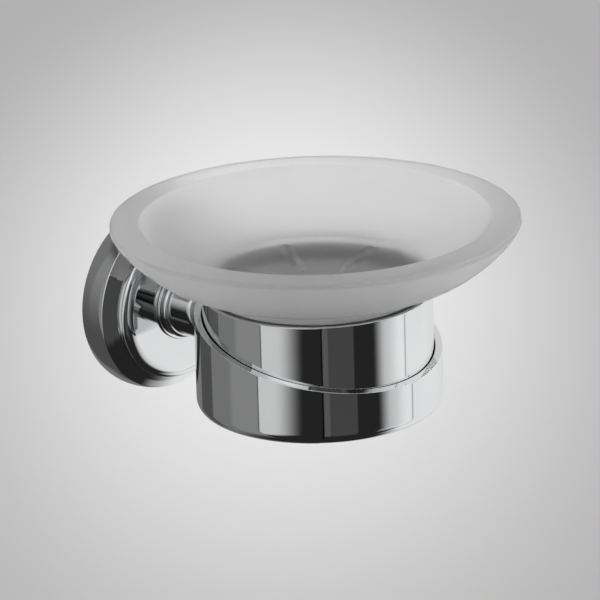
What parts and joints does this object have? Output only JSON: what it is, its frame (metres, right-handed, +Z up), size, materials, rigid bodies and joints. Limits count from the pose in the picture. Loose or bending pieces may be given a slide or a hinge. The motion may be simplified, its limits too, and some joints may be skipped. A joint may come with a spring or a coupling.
{
  "type": "wall-mounted soap dish",
  "caption": "Frosted glass soap bowl on a soft dark seat ring in a round chrome holder, carried by a short turned arm on a stepped wall rosette.",
  "frame": {"origin": "centre of the wall bracket's back face, on the axis of the arm, in the plane of the wall", "axes": "+Z up, +Y into the wall and square to it, so the bowl stands out of the wall towards -Y; +X to the right seen from the room"},
  "size_m": [0.12, 0.1337, 0.0686],
  "materials": {
    "chrome": "polished chrome plate on brass",
    "bracket_steel": "zinc plated",
    "screw_steel": "plain stainless",
    "seat_ring": "dark soft rubber",
    "frosted_glass": "frosted, with a ground rim"
  },
  "bodies": {
    "holder": {"wall_bracket": "bracket_steel", "rosette": "chrome", "grub_screw": "screw_steel", "base_ring": "chrome", "arm": "chrome", "arm_washer": "screw_steel", "arm_screw": "screw_steel", "collar": "chrome", "sleeve": "chrome", "holder_washer": "screw_steel", "holder_screw": "screw_steel"},
    "seat": {"seat_ring": "seat_ring"},
    "dish": {"bowl": "frosted_glass"}
  },
  "joints": [
    {"name": "dish_lift", "type": "slide", "parent": "holder", "child": "seat", "axis": [0, 0, 1], "range_m": [0, 0.05]},
    {"name": "dish_turn", "type": "hinge", "parent": "seat", "child": "dish", "pos_m": [0, -0.0737, 0.01], "axis": [0, 0, 1], "continuous": true}
  ]
}
